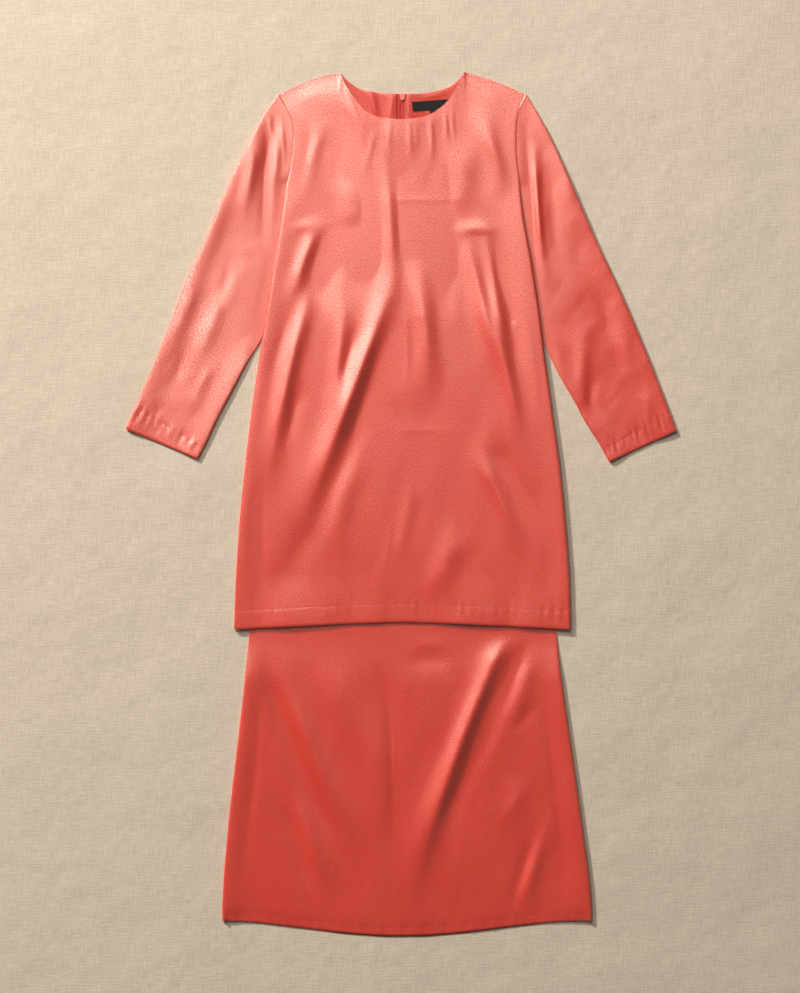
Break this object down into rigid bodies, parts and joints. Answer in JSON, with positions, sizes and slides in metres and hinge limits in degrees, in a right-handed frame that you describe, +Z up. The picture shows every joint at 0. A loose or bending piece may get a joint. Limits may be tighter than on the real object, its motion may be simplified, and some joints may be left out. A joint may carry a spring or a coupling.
{
  "type": "baju kurung, tunic and skirt set laid flat",
  "caption": "Satin baju kurung laid flat: a round-necked, long-sleeved tunic with a concealed back zip, on top of its long A-line skirt.",
  "frame": {"origin": "middle of the laid garment's outline, on the surface it lies on", "axes": "+Y from the skirt's hem towards the neck, +X to the right as seen from above, +Z up"},
  "size_m": [0.8645, 1.3567, 0.0144],
  "materials": {
    "coral_satin": "satin weave with a fine sparkle in its highlights",
    "black_label": "plain woven label, bare",
    "zip_tape": "matte woven tape",
    "zip_coil": "moulded nylon coil",
    "zip_metal": "lacquered to match the cloth"
  },
  "bodies": {
    "garment": {"tunic_front": "coral_satin", "tunic_back_left": "coral_satin", "tunic_back_right": "coral_satin", "sleeve_left": "coral_satin", "sleeve_right": "coral_satin", "neck_facing_left": "coral_satin", "neck_facing_right": "coral_satin", "zip_tape_left": "zip_tape", "zip_tape_right": "zip_tape", "zip_coil": "zip_coil", "zip_slider": "zip_metal", "neck_label": "black_label", "size_tab": "black_label", "skirt_front": "coral_satin", "skirt_back": "coral_satin"},
    "pull": {"zip_pull": "zip_metal"}
  },
  "joints": [
    {"name": "pull_swing", "type": "hinge", "parent": "garment", "child": "pull", "pos_m": [0.0015, 0.6392, 0.00125], "axis": [1, 0, 0], "range_deg": [0, 150]}
  ]
}
